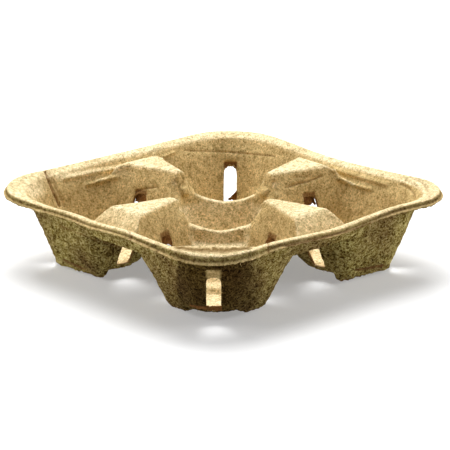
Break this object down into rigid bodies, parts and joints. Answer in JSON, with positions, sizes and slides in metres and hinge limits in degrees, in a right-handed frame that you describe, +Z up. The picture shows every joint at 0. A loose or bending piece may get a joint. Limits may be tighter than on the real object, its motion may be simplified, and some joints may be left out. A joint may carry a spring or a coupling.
{
  "type": "cup carrier tray",
  "caption": "Square moulded pulp tray with deep drafted cup wells around a central bowl, humps between them and a turned-down rim.",
  "frame": {"origin": "middle of the tray's footprint, on the surface it stands on", "axes": "+Z up, +X and +Y square to the rim's sides, the wells on the diagonals"},
  "size_m": [0.216, 0.216, 0.0544],
  "materials": {
    "pulp": "rough unbleached recycled paper pulp with visible fibres"
  },
  "bodies": {
    "root": {"carrier_tray": "pulp"}
  },
  "joints": []
}
